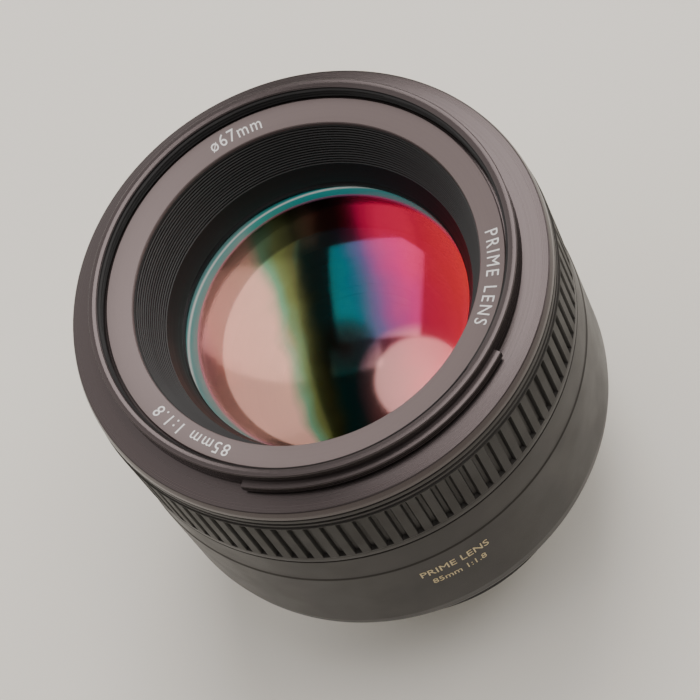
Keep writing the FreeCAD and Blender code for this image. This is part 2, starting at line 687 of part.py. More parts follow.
def iris_base():
    plate = box_ring("iris_plate", "iris_open", "guide_bore", "iris_base_foot", "iris_base_top")
    through = "iris_base_top - iris_base_foot + 2 * overcut"
    tools = [sector("bar_inner - bar_gap", "bar_outer + bar_gap", "iris_base_foot - overcut", through,
                    "bar_angle + lever_travel / 2", "lever_travel + bar_span + 2 * bar_clearance")]
    for degrees in around(BLADES, size("first_pivot")):
        hole = cylinder("pivot_hole", through, z="iris_base_foot - overcut")
        place_xy(hole, polar(size("pivot_circle"), degrees))
        tools.append(hole)
    return cut("iris_base", plate, tools)


def iris_cover():
    return box_ring("iris_cover", "iris_open", "guide_bore", "iris_cover_foot", "cell_foot")


def pin_spot(closing):
    """Where the follower pin of a blade with its pivot on +X is, from 0 (open) to 1 (stopped down)."""
    lean = math.radians((closing - 0.5) * size("blade_swing"))
    arm = size("blade_arm")
    return FreeCAD.Vector(size("pivot_circle") + arm * math.sin(lean), -arm * math.cos(lean), 0)


def vane_slot(degrees):
    """The oblique cam slot of one blade: the follower's path as the ring sees it."""
    spots = []
    for closing in (1.0, 0.5, 0.0):
        ring_turn = size("lever_travel") * (1.0 - closing)
        spots.append(FreeCAD.Rotation(Z_AXIS, degrees - ring_turn).multVec(pin_spot(closing)))
    path = Part.Arc(spots[0], spots[1], spots[2]).toShape().Curve
    half = size("vane_slot_half")
    deep = size("vane_ring_top") - size("vane_ring_foot") + 2 * size("overcut")
    foot = FreeCAD.Vector(0, 0, size("vane_ring_foot") - size("overcut"))
    wedge = band_between(path.Center, path.Radius - half, path.Radius + half, spots[0], spots[2])
    ends = [Part.makeCylinder(half, deep, spot) for spot in (spots[0], spots[2])]
    slot = doc.addObject("Part::Feature", "VaneSlot")
    slot.Shape = wedge.extrude(FreeCAD.Vector(0, 0, deep)).multiFuse(ends)
    slot.Placement = FreeCAD.Placement(foot, FreeCAD.Rotation())
    return slot


def band_between(centre, inner, outer, start, end):
    """A flat band of ring about a centre, the short way from the start to the end point."""
    middle = (start + end) * 0.5 - centre
    middle.normalize()
    rays = [(start - centre).normalize(), middle, (end - centre).normalize()]
    low = [centre + ray * inner for ray in rays]
    high = [centre + ray * outer for ray in rays]
    edges = [Part.Arc(low[0], low[1], low[2]).toShape(), Part.makeLine(low[2], high[2]),
             Part.Arc(high[2], high[1], high[0]).toShape(), Part.makeLine(high[0], low[0])]
    return Part.Face(Part.Wire(edges))


def aperture_ring():
    ring = box_ring("vane_ring", "vane_ring_inner", "vane_ring_outer", "vane_ring_foot", "vane_ring_top")
    slots = [vane_slot(degrees) for degrees in around(BLADES, size("first_pivot"))]
    return cut("aperture_ring", ring, slots)


def aperture_lever():
    """The bar that links the iris to the camera: down past the moving group, in, and out at the back."""
    bar = sector("bar_inner", "bar_outer", "bar_foot", "vane_ring_foot - bar_foot", "bar_angle", "bar_span")
    arm = sector("lever_inner", "bar_outer", "bar_foot", "arm_top - bar_foot", "bar_angle", "lever_span")
    tip = sector("lever_inner", "lever_outer", "0 - lever_reach", "arm_top + lever_reach",
                 "bar_angle", "lever_span")
    return fuse("aperture_lever", [bar, arm, tip])


def iris_blade(number):
    """A thin crescent with a pivot pin behind and a follower pin in front, at its own level."""
    level = size("blade_foot") + (number - 1) * size("blade_pitch")
    degrees = around(BLADES, size("first_pivot"))[number - 1]
    thick = FreeCAD.Vector(0, 0, size("blade_thick"))
    centre = FreeCAD.Vector(0, 0, 0)
    pivot = FreeCAD.Vector(size("pivot_circle"), 0, 0)
    inner = size("iris_open")
    outer = size("blade_outer")
    sweep = size("blade_sweep")
    lead = size("blade_lead")
    crescent = band_between(centre, inner, outer, polar(outer, -lead), polar(outer, sweep - lead))
    follower = pin_spot(0.0)
    root = outer - size("tab_root")
    land = size("pivot_land")
    side = size("follower_land")
    tab_points = [polar(root, size("tab_span")), pivot + FreeCAD.Vector(land / 2, land, 0),
                  pivot + FreeCAD.Vector(land, 0, 0), follower + FreeCAD.Vector(side, 0, 0),
                  follower + FreeCAD.Vector(0, -side, 0), follower + FreeCAD.Vector(-side, 0, 0),
                  polar(root, -lead)]
    tab = Part.Face(Part.makePolygon(tab_points + [tab_points[0]]))
    leaf = crescent.extrude(thick).fuse(tab.extrude(thick))
    pivot_foot = size("iris_base_foot") + size("pivot_lift") - level
    pin_base = pivot + FreeCAD.Vector(0, 0, pivot_foot)
    pivot_pin = Part.makeCylinder(size("pivot_radius"), -pivot_foot, pin_base)
    follower_pin = Part.makeCylinder(size("blade_pin"), size("blade_pin_top") - level, follower)
    leaf = leaf.multiFuse([pivot_pin, follower_pin]).removeSplitter()
    stopped_down = FreeCAD.Placement(FreeCAD.Vector(), FreeCAD.Rotation(Z_AXIS, size("blade_swing")), pivot)
    seat = FreeCAD.Placement(FreeCAD.Vector(0, 0, level), FreeCAD.Rotation(Z_AXIS, degrees))
    blade = doc.addObject("Part::Feature", "Blade")
    blade.Shape = leaf
    blade.Placement = seat.multiply(stopped_down)
    blade.Label = "iris_blade_{}".format(number)
    return blade


# --- assembly --------------------------------------------------------------------------------

def build():
    pieces = [
        bayonet_mount(), mount_screws(), mount_gasket(), contact_block(), contact_pins(), rear_baffle(),
        rear_barrel(), index_dot(), main_barrel(), scale_window(), switch_plate(), mode_switch(),
        front_barrel(), filter_collar(), name_ring(), front_baffle(), front_retaining_ring(), front_cell(),
        focus_ring(), focus_grip(), manual_ring(), drive_ring(), distance_scale(), roller_axles(),
        motor_rotor(), motor_stator(), motor_spring(), circuit_board(), guide_sleeve(), focus_carrier(),
        cam_pins(), rear_retaining_ring(), iris_base(), iris_cover(), aperture_ring(), aperture_lever()]
    pieces += [glass(number) for number in ELEMENTS]
    pieces += [roller(number) for number in range(1, ROLLERS + 1)]
    pieces += [iris_blade(number) for number in range(1, BLADES + 1)]
    return pieces


def check_document():
    for thing in doc.Objects:
        if "Invalid" in thing.State or "Error" in thing.State:
            raise RuntimeError("{} ({}) did not compute".format(thing.Label, thing.Name))


def write_parts(pieces):
    os.makedirs("parts", exist_ok=True)
    for piece in pieces:
        shape = piece.Shape
        if shape.isNull() or not shape.isValid() or not shape.Solids:
            raise RuntimeError("{} has no valid solid".format(piece.Label))
        shape.exportStep("parts/{}.step".format(piece.Label))
        print("{:24s} {:2d} solid(s) {:10.1f} mm3".format(piece.Label, len(shape.Solids), shape.Volume))


sub_parts = build()
doc.recompute()
check_document()
write_parts(sub_parts)
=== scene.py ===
"""The looks of the 85 mm lens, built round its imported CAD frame.

Lengths are given in millimetres and turned into metres by MM.  The optical axis is Z, so most
pieces are sections turned about it; radii and heights come from the CAD nodes' boxes.
"""

import math

import bmesh
import bpy
from mathutils import Matrix, Vector


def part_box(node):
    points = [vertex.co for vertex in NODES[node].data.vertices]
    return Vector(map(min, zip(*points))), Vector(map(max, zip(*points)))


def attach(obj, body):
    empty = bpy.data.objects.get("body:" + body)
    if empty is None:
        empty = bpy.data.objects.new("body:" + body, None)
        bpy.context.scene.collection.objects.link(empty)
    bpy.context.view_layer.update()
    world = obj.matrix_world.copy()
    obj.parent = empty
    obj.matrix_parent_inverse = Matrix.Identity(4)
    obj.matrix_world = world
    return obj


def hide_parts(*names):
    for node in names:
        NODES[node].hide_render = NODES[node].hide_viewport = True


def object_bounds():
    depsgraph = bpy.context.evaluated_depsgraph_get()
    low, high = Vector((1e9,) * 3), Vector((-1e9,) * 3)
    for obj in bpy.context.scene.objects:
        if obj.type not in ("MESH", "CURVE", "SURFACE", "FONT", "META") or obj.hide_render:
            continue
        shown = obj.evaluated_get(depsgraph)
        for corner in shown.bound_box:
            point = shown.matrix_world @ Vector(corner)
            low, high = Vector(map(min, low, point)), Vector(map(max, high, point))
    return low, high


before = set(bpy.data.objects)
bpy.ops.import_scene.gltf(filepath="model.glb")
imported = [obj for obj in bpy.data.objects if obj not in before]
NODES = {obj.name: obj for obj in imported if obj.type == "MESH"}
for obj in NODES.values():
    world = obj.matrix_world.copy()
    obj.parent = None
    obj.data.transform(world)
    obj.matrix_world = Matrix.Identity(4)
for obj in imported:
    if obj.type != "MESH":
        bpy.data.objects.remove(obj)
cad_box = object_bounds()

MM = 0.001
TAU = 2 * math.pi
# How many flats a full turn about the axis has.
SEGMENTS = 384
# The turn of the surface, in degrees, from which an edge is shaded sharp, and from which it is rounded.
SHARP = 32.0
SQUARE = 60.0
# The directions of the top of the lens and of its underside about the axis, in degrees from +X.
TOP = 90.0
UNDERSIDE = 270.0


# --- sizes taken from the frame --------------------------------------------------------------

def radius(node):
    """The outer radius of a round CAD node, in millimetres."""
    low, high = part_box(node)
    return (high.x - low.x) / 2 / MM


def foot(node):
    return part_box(node)[0].z / MM


def top(node):
    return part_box(node)[1].z / MM


# --- mesh tools ------------------------------------------------------------------------------

def made_of(name, bm):
    """An object with the bmesh (in millimetres) as its mesh, its faces turned outward."""
    bmesh.ops.recalc_face_normals(bm, faces=bm.faces)
    mesh = bpy.data.meshes.new(name)
    bm.to_mesh(mesh)
    bm.free()
    mesh.transform(Matrix.Scale(MM, 4))
    thing = bpy.data.objects.new(name, mesh)
    bpy.context.scene.collection.objects.link(thing)
    return thing


def shade(mesh, sharp=SHARP):
    """Smooth shading that stays crisp where the surface turns by more than some degrees."""
    mesh.shade_smooth()
    mesh.set_sharp_from_angle(angle=math.radians(sharp))


def piece(name, bm, body, node, materials, sharp=SHARP):
    """Turns a bmesh into a finished piece of the model, in place of a CAD node where one is given."""
    thing = made_of(name, bm)
    shade(thing.data, sharp)
    for material in materials if isinstance(materials, list) else [materials]:
        thing.data.materials.append(material)
    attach(thing, body)
    if node:
        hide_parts(node)
    return thing


def rounded(corners, steps=4):
    """A closed outline of (radius, height) or (radius, height, fillet) corners, fillets filled in."""
    points = []
    for i, corner in enumerate(corners):
        here = Vector(corner[:2])
        if len(corner) == 2:
            points.append(here)
            continue
        before = Vector(corners[i - 1][:2]) - here
        after = Vector(corners[(i + 1) % len(corners)][:2]) - here
        tangent = corner[2] / math.tan(before.angle(after) / 2)
        reach = min(tangent, before.length * 0.48, after.length * 0.48)
        start = here + before.normalized() * reach
        end = here + after.normalized() * reach
        for k in range(steps + 1):
            f = k / steps
            points.append(start * (1 - f) ** 2 + here * 2 * f * (1 - f) + end * f ** 2)
    return points


def skin(bm, first, second):
    """A band of faces between two closed loops with the same number of points."""
    faces = []
    for j in range(len(first)):
        k = (j + 1) % len(first)
        faces.append(bm.faces.new((first[j], second[j], second[k], first[k])))
    return faces


def on_circle(bm, r, angle, z):
    return bm.verts.new((r * math.cos(angle), r * math.sin(angle), z))


def turn(bm, outline, start=0.0, end=360.0, segments=SEGMENTS, bend=None):
    """Turns a closed outline about Z; less than a full turn gets flat ends.  bend moves each point."""
    full = end - start >= 360.0
    count = segments if full else max(2, round(segments * (end - start) / 360.0))
    columns = []
    for i in range(count if full else count + 1):
        angle = math.radians(start + (end - start) * i / count)
        section = [bend(r, z, angle) for r, z in outline] if bend else outline
        columns.append([on_circle(bm, r, angle, z) for r, z in section])
    for first, second in zip(columns, columns[1:]):
        skin(bm, first, second)
    if full:
        skin(bm, columns[-1], columns[0])
    else:
        bm.faces.new(columns[0])
        bm.faces.new(list(reversed(columns[-1])))


def ring(name, corners, body, node, material, steps=4):
    """A piece with one rounded outline, turned all the way round the axis."""
    bm = bmesh.new()
    turn(bm, rounded(corners, steps))
    return piece(name, bm, body, node, material)


def bevel(bm, width):
    """Rounds every edge that is about square."""
    edges = [e for e in bm.edges if len(e.link_faces) == 2 and e.calc_face_angle() > math.radians(SQUARE)]
    bmesh.ops.bevel(bm, geom=edges, offset=width, segments=2, affect="EDGES", profile=0.7,
                    clamp_overlap=True)


def rod(bm, radius_low, radius_high, low, high, matrix):
    """A round rod or cone along local Z from low to high."""
    place = matrix @ Matrix.Translation((0, 0, (low + high) / 2))
    bmesh.ops.create_cone(bm, cap_ends=True, segments=48, radius1=radius_low, radius2=radius_high,
                          depth=high - low, matrix=place)


def block(bm, size, matrix):
    bmesh.ops.create_cube(bm, size=1.0, matrix=matrix @ Matrix.Diagonal((*size, 1.0)))


def rod_cutter(radius_low, radius_high, low, high, matrix):
    bm = bmesh.new()
    rod(bm, radius_low, radius_high, low, high, matrix)
    return made_of("cutter", bm)


def block_cutter(size, matrix):
    bm = bmesh.new()
    block(bm, size, matrix)
    return made_of("cutter", bm)


def sector_cutter(inner, outer, low, high, centre, span):
    """A block bent round the axis, between two radii and two heights."""
    bm = bmesh.new()
    turn(bm, [(inner, low), (outer, low), (outer, high), (inner, high)], centre - span / 2, centre + span / 2)
    return made_of("cutter", bm)


def carve(thing, cutters):
    """Cuts each cutter out of the piece and keeps the result as plain mesh."""
    for tool in cutters:
        change = thing.modifiers.new("Cut", "BOOLEAN")
        change.operation = "DIFFERENCE"
        change.solver = "EXACT"
        change.object = tool
        graph = bpy.context.evaluated_depsgraph_get()
        mesh = bpy.data.meshes.new_from_object(thing.evaluated_get(graph))
        thing.modifiers.clear()
        thing.data = mesh
        bpy.data.objects.remove(tool)
    shade(thing.data)


def around(degrees, r):
    """A place on the circle of radius r, with local X pointing outward and Z along the axis."""
    return Matrix.Rotation(math.radians(degrees), 4, "Z") @ Matrix.Translation((r, 0, 0))


# --- lettering -------------------------------------------------------------------------------

def flat_letters(words, gap):
    """The words as one flat bmesh round the origin, in the font's own units."""
    curve = bpy.data.curves.new("letters", "FONT")
    curve.body = words
    curve.align_x = "CENTER"
    curve.align_y = "CENTER"
    curve.space_character = gap
    curve.resolution_u = 3
    maker = bpy.data.objects.new("letters", curve)
    bpy.context.scene.collection.objects.link(maker)
    bpy.context.view_layer.update()
    graph = bpy.context.evaluated_depsgraph_get()
    mesh = bpy.data.meshes.new_from_object(maker.evaluated_get(graph))
    bpy.data.objects.remove(maker)
    bm = bmesh.new()
    bm.from_mesh(mesh)
    bpy.data.meshes.remove(mesh)
    return bm


def lettering(name, words, height, centre, r, z, body, material, width=1.0, side=False, slope=0.0,
              gap=1.0, raise_by=0.02):
    """Thin raised paint, bent round the axis.

    On the front it reads clockwise with its tops outward; side=True puts it on a cylinder with
    its tops towards the subject.  slope is the rise of the surface per millimetre of radius.
    """
    bm = flat_letters(words, gap)
    low = min(v.co.y for v in bm.verts)
    high = max(v.co.y for v in bm.verts)
    scale = height / (high - low)
    middle = (low + high) / 2
    # Long straight edges are split, so that they can follow the bend.
    longest = 0.5
    bmesh.ops.subdivide_edges(bm, edges=[e for e in bm.edges if e.calc_length() * scale > longest], cuts=2)
    lifted = bmesh.ops.extrude_face_region(bm, geom=list(bm.faces))
    for item in lifted["geom"]:
        if isinstance(item, bmesh.types.BMVert):
            item.co.z += 1.0
    for vert in bm.verts:
        x = vert.co.x * scale * width
        y = (vert.co.y - middle) * scale
        lift = raise_by * (vert.co.z * 2 - 1)
        angle = math.radians(centre) + (x if side else -x) / r
        out, level = (r + lift, z + y) if side else (r + y, z + y * slope + lift)
        vert.co = Vector((out * math.cos(angle), out * math.sin(angle), level))
    return piece(name, bm, body, None, material)


# --- materials -------------------------------------------------------------------------------

def new_material(name):
    made = bpy.data.materials.new(name)
    made.use_nodes = True
    shader = made.node_tree.nodes["Principled BSDF"]
    return made, made.node_tree, shader


def node(tree, kind, **values):
    made = tree.nodes.new("ShaderNode" + kind)
    for name, value in values.items():
        if name in made.inputs:
            made.inputs[name].default_value = value
        else:
            setattr(made, name, value)
    return made


def maths(tree, operation, first, second, clamp=False):
    made = node(tree, "Math", operation=operation, use_clamp=clamp)
    tree.links.new(first, made.inputs[0])
    tree.links.new(second, made.inputs[1])
    return made.outputs[0]


def place_of(tree):
    return tree.nodes.new("ShaderNodeTexCoord").outputs["Object"]


def place_across(tree):
    """The place with its height along the axis taken away."""
    flat = node(tree, "VectorMath", operation="MULTIPLY")
    tree.links.new(place_of(tree), flat.inputs[0])
    flat.inputs[1].default_value = (1.0, 1.0, 0.0)
    return flat.outputs["Vector"]


def grain(tree, size_mm, detail):
    """A noise from 0 to 1 with grains of about a size."""
    noise = node(tree, "TexNoise", Scale=1.0 / (size_mm * MM), Detail=detail, Roughness=0.6)
    tree.links.new(place_of(tree), noise.inputs["Vector"])
    return noise.outputs["Fac"]


def remap(tree, value, low, high, from_low=0.3, from_high=0.7):
    """Stretches a value, by default the part of a noise's range that it mostly stays in."""
    ramp = node(tree, "MapRange")
    ramp.inputs["From Min"].default_value = from_low
    ramp.inputs["From Max"].default_value = from_high
    ramp.inputs["To Min"].default_value = low
    ramp.inputs["To Max"].default_value = high
    tree.links.new(value, ramp.inputs["Value"])
    return ramp.outputs["Result"]


# The sockets of a Mix node that mixes colours.
MIX_FACTOR, MIX_FIRST, MIX_SECOND, MIX_RESULT = 0, 6, 7, 2


def tint(tree, value, dark, light):
    """A colour between two, as a value goes from 0 to 1."""
    mix = node(tree, "Mix", data_type="RGBA")
    mix.inputs[MIX_FIRST].default_value = (*dark, 1.0)
    mix.inputs[MIX_SECOND].default_value = (*light, 1.0)
    tree.links.new(value, mix.inputs[MIX_FACTOR])
    return mix.outputs[MIX_RESULT]


def laid_over(tree, below, above, cover):
    """One colour laid over another where the cover is 1."""
    mix = node(tree, "Mix", data_type="RGBA")
    tree.links.new(cover, mix.inputs[MIX_FACTOR])
    tree.links.new(below, mix.inputs[MIX_FIRST])
    tree.links.new(above, mix.inputs[MIX_SECOND])
    return mix.outputs[MIX_RESULT]


def turned_lines(tree, per_mm):
    """Fine concentric tool marks: a noise that changes only with radius and height."""
    reach = node(tree, "VectorMath", operation="LENGTH")
    tree.links.new(place_across(tree), reach.inputs[0])
    split = node(tree, "SeparateXYZ")
    tree.links.new(place_of(tree), split.inputs[0])
    both = node(tree, "CombineXYZ")
    tree.links.new(reach.outputs["Value"], both.inputs["X"])
    tree.links.new(split.outputs["Z"], both.inputs["Z"])
    noise = node(tree, "TexNoise", Scale=per_mm / MM, Detail=3.0, Roughness=0.4)
    tree.links.new(both.outputs[0], noise.inputs["Vector"])
    return noise.outputs["Fac"]


NEUTRAL = (1.0, 1.0, 1.0)


def finish(name, pattern, relief, dark, light, rough, depth_mm, metallic, specular, gleam):
    """A material whose colour and gloss follow one pattern and whose relief follows another.

    pattern and relief each make a noise in the material's node tree.
    """
    made, tree, shader = new_material(name)
    wear = pattern(tree)
    height = relief(tree) if relief else wear
    tree.links.new(tint(tree, wear, dark, light), shader.inputs["Base Color"])
    tree.links.new(remap(tree, wear, *rough), shader.inputs["Roughness"])
    shader.inputs["Metallic"].default_value = metallic
    shader.inputs["Specular IOR Level"].default_value = specular
    shader.inputs["Specular Tint"].default_value = (*gleam, 1.0)
    bump = node(tree, "Bump", Strength=1.0, Distance=depth_mm * MM)
    tree.links.new(height, bump.inputs["Height"])
    tree.links.new(bump.outputs["Normal"], shader.inputs["Normal"])
    return made


def moulded(name, dark, light, rough, grain_mm=0.12, depth_mm=0.012, metallic=0.0, specular=0.5,
            gleam=NEUTRAL):
    """A moulded or cast surface: fine grain, slow colour drift and uneven gloss."""
    return finish(name, lambda tree: grain(tree, 9.0, 2.0), lambda tree: grain(tree, grain_mm, 3.0),
                  dark, light, rough, depth_mm, metallic, specular, gleam)


def turned(name, dark, light, rough, per_mm, depth_mm, metallic=0.0, specular=0.5, gleam=NEUTRAL):
    """A surface turned on a lathe: concentric marks in height, gloss and colour."""
    return finish(name, lambda tree: turned_lines(tree, per_mm), None,
                  dark, light, rough, depth_mm, metallic, specular, gleam)


WARM = (1.0, 0.93, 0.84)
MAUVE = (1.0, 0.84, 0.84)
PLASTIC = moulded("satin_black", (0.010, 0.009, 0.0095), (0.017, 0.0155, 0.016), (0.34, 0.44),
                  specular=0.34, gleam=WARM)
RUBBER = moulded("grip_rubber", (0.010, 0.010, 0.010), (0.018, 0.017, 0.017), (0.48, 0.62), 0.2, 0.02,
                 specular=0.38, gleam=WARM)
SEAL = moulded("gasket_rubber", (0.010, 0.010, 0.010), (0.016, 0.016, 0.016), (0.55, 0.7), 0.25, 0.01)
INNER = moulded("inner_plastic", (0.008, 0.008, 0.008), (0.015, 0.015, 0.015), (0.5, 0.65))
GREEN = moulded("circuit_green", (0.01, 0.06, 0.03), (0.02, 0.10, 0.05), (0.25, 0.4), 1.2, 0.03)
WHITE = moulded("white_print", (0.78, 0.77, 0.76), (0.88, 0.87, 0.86), (0.45, 0.6), 0.1, 0.004)
AMBER = moulded("amber_print", (0.55, 0.45, 0.24), (0.66, 0.54, 0.30), (0.4, 0.55), 0.1, 0.004)
STEEL = moulded("steel", (0.45, 0.45, 0.46), (0.58, 0.58, 0.58), (0.25, 0.4), 0.3, 0.003, metallic=1.0)
GOLD = moulded("gold_contact", (0.80, 0.58, 0.22), (0.90, 0.68, 0.30), (0.15, 0.28), 0.2, 0.002, metallic=1.0)
FRONT = turned("turned_front", (0.016, 0.013, 0.013), (0.027, 0.022, 0.021), (0.20, 0.29), 7.0, 0.004,
               specular=0.75, gleam=MAUVE)
# The name ring's base colour is raised to a light mauve grey: painted sheen standing in for the soft light on
# its black plastic.
NAME_RING_SHEEN = turned("printed_ring", (0.135, 0.108, 0.105), (0.160, 0.129, 0.125), (0.34, 0.42), 5.0, 0.002,
              gleam=MAUVE)
BAFFLE = turned("baffle_black", (0.004, 0.004, 0.004), (0.010, 0.009, 0.009), (0.45, 0.62), 3.0, 0.004)
ANODISED = turned("anodised_black", (0.010, 0.010, 0.011), (0.022, 0.021, 0.022), (0.30, 0.45), 6.0, 0.003,
                  0.6)
LEAF = turned("blackened_leaf", (0.012, 0.012, 0.013), (0.022, 0.021, 0.022), (0.3, 0.42), 6.0, 0.001, 0.8)
CHROME = turned("chromed_mount", (0.60, 0.59, 0.58), (0.72, 0.71, 0.70), (0.16, 0.30), 9.0, 0.002, 1.0)
BRASS = turned("brass", (0.62, 0.44, 0.18), (0.75, 0.55, 0.25), (0.25, 0.4), 8.0, 0.002, 1.0)


def clear_window():
    made, tree, shader = new_material("tinted_window")
    made.surface_render_method = "BLENDED"
    smear = grain(tree, 5.0, 2.0)
    tree.links.new(tint(tree, smear, (0.01, 0.01, 0.012), (0.02, 0.02, 0.022)), shader.inputs["Base Color"])
    tree.links.new(remap(tree, smear, 0.28, 0.36), shader.inputs["Alpha"])
    shader.inputs["Roughness"].default_value = 0.06
    shader.inputs["Coat Weight"].default_value = 1.0
    return made


WINDOW = clear_window()


# --- coatings of the glass -------------------------------------------------------------------

# The direction across the lens along which the coatings change colour, and half its reach.  The colours along
# it are partly the coatings' own tints and partly painted reflection colour, pale where the lamps'
# reflections fall and dark between them.
DRIFT = Vector((1.019, -0.154, 0.0))
DRIFT_REACH = 24.4


def colour_ramp(tree, value, stops):
    """A colour ramp over (position, colour) or (position, colour, weight) stops."""
    ramp = node(tree, "ValToRGB")
    tree.links.new(value, ramp.inputs["Fac"])
    made = ramp.color_ramp.elements
    for i, stop in enumerate(stops):
        element = made[i] if i < len(made) else made.new(stop[0])
        element.position = stop[0]
        element.color = (*stop[1], stop[2] if len(stop) > 2 else 1.0)
    return ramp


def place_along_drift(tree):
    """0 to 1 across the glass along DRIFT, with a slow unevenness."""
    along = node(tree, "VectorMath", operation="DOT_PRODUCT")
    tree.links.new(place_of(tree), along.inputs[0])
    along.inputs[1].default_value = DRIFT / (2 * DRIFT_REACH * MM)
    uneven = remap(tree, grain(tree, 16.0, 2.0), 0.46, 0.54)
    return maths(tree, "ADD", along.outputs["Value"], uneven, clamp=True)


def place_in_patch(tree, x, y, low, high):
    """0 to 1 between two distances from a point of the glass."""
    away = node(tree, "VectorMath", operation="DISTANCE")
    tree.links.new(place_across(tree), away.inputs[0])
    away.inputs[1].default_value = (x * MM, y * MM, 0.0)
    return remap(tree, away.outputs["Value"], 0.0, 1.0, low * MM, high * MM)


def coating(name, bands, strength, rough=0.08, patches=()):
    """One coated glass surface: clear, with a reflection whose colour drifts across the glass.
    The drift is partly the coating's own tint and partly painted reflection colour, laid out by place.

    bands lists (place, colour, weight): the place runs from -1 to 1 along DRIFT over the front
    element, and the weight, 1 where it is left out, scales the strength.
    patches lists (x, y, low, high, solid, stops): rings of painted reflection and painted highlight about the
    point (x, y), whose stops run from one distance from it to the other.  A solid patch also covers the
    glass.
    """
    made, tree, shader = new_material(name)
    made.surface_render_method = "BLENDED"
    shader.inputs["Metallic"].default_value = 1.0
    shader.inputs["Roughness"].default_value = rough
    drift = colour_ramp(tree, place_along_drift(tree), [((band[0] + 1) / 2, *band[1:]) for band in bands])
    colour = drift.outputs["Color"]
    # The reflection grows towards glancing angles, but stays clear enough to show the surface behind.
    facing = node(tree, "LayerWeight", Blend=0.35)
    glancing = remap(tree, facing.outputs["Fresnel"], strength, min(1.0, strength * 2.2), 0.04, 0.9)
    cover = maths(tree, "MULTIPLY", glancing, drift.outputs["Alpha"])
    for x, y, low, high, solid, stops in patches:
        ramp = colour_ramp(tree, place_in_patch(tree, x, y, low, high), stops)
        colour = laid_over(tree, colour, ramp.outputs["Color"], ramp.outputs["Alpha"])
        if solid:
            cover = maths(tree, "MAXIMUM", cover, ramp.outputs["Alpha"])
            matt = remap(tree, ramp.outputs["Alpha"], 1.0, 0.2, 0.0, 0.5)
            tree.links.new(matt, shader.inputs["Metallic"])
    tree.links.new(colour, shader.inputs["Base Color"])
    tree.links.new(cover, shader.inputs["Alpha"])
    return made


# A painted highlight: the bright teal and white crescent where the edge of the front element catches the
# light, painted into the front coating.
PAINTED_EDGE_HIGHLIGHT = (0.95, -2.0, 22.6, 26.6, True, (
    (0.0, (0.90, 0.10, 0.40), 0.0), (0.08, (0.90, 0.12, 0.42), 0.4), (0.20, (0.02, 0.40, 0.38), 0.75),
    (0.50, (0.03, 0.46, 0.45), 0.85), (0.60, (0.95, 1.0, 0.95), 0.95), (0.70, (0.03, 0.44, 0.44), 0.85),
    (1.0, (0.0, 0.16, 0.18), 0.85)))
# A painted reflection: a pale pink patch on the front coating where a lamp's reflection falls.
PAINTED_PALE_REFLECTION = (9.2, -20.0, 0.0, 12.5, False, (
    (0.0, (0.95, 0.50, 0.44), 1.0), (0.60, (0.95, 0.46, 0.43), 0.9), (0.85, (0.6, 0.2, 0.3), 0.0)))
# A painted dark reflection: a near-black patch on the front coating where only shade is reflected.
PAINTED_DARK_REFLECTION = (0.8, -9.4, 0.0, 7.0, False, (
    (0.0, (0.01, 0.01, 0.01), 1.0), (0.50, (0.01, 0.01, 0.01), 0.8), (0.85, (0.01, 0.01, 0.01), 0.0)))
# Each coating's bands are partly its own tint and partly painted reflection: pale where a lamp's reflection
# falls, dark where only shade is reflected.
FRONT_COAT = coating("coating_front", (
    (-1.0, (1.0, 0.50, 0.40)), (-0.34, (1.0, 0.54, 0.43)), (-0.26, (0.18, 0.42, 0.25)),
    (-0.19, (0.18, 0.21, 0.06)), (-0.08, (0.10, 0.10, 0.03), 0.8), (0.02, (0.0, 0.13, 0.13), 0.6),
    (0.22, (0.0, 0.115, 0.14), 0.55), (0.38, (0.05, 0.085, 0.21), 0.55), (0.58, (0.30, 0.03, 0.18), 0.5),
    (1.0, (0.70, 0.03, 0.09), 0.3)), 0.38, patches=(PAINTED_DARK_REFLECTION, PAINTED_PALE_REFLECTION, PAINTED_EDGE_HIGHLIGHT))
REAR_COAT = coating("coating_rear", (
    (-1.0, (0.40, 0.13, 0.16)), (-0.80, (0.42, 0.18, 0.15)), (-0.38, (0.38, 0.20, 0.15)),
    (-0.27, (0.08, 0.15, 0.085)), (-0.18, (0.07, 0.08, 0.03)), (-0.06, (0.02, 0.02, 0.01)),
    (0.24, (0.06, 0.01, 0.01)), (0.40, (0.36, 0.01, 0.05)), (0.56, (0.90, 0.02, 0.10)),
    (0.74, (1.0, 0.03, 0.09)), (1.0, (1.0, 0.05, 0.05))), 0.70, 0.10)
ROSE = coating("coating_rose", (
    (-1.0, (1.0, 0.62, 0.56)), (-0.40, (0.90, 0.60, 0.50)), (-0.12, (0.10, 0.10, 0.06)),
    (0.10, (0.01, 0.04, 0.05)), (0.34, (0.06, 0.05, 0.14)), (0.55, (0.7, 0.42, 0.40)),
    (1.0, (0.7, 0.35, 0.33))), 0.13)
OLIVE = coating("coating_olive", (
    (-1.0, (0.70, 0.55, 0.35)), (-0.20, (0.20, 0.28, 0.10)), (0.10, (0.02, 0.08, 0.08)),
    (0.50, (0.40, 0.25, 0.25)), (1.0, (0.5, 0.2, 0.2))), 0.10)
FAINT = coating("coating_faint", ((-1.0, (0.35, 0.08, 0.20)), (1.0, (0.50, 0.10, 0.15))), 0.02, 0.12)


# --- front end -------------------------------------------------------------------------------

# The bore of the thin web that joins the nose to the collar, and of the sleeve behind it.
WEB_BORE = 29.5
SLEEVE_BORE = 35.8


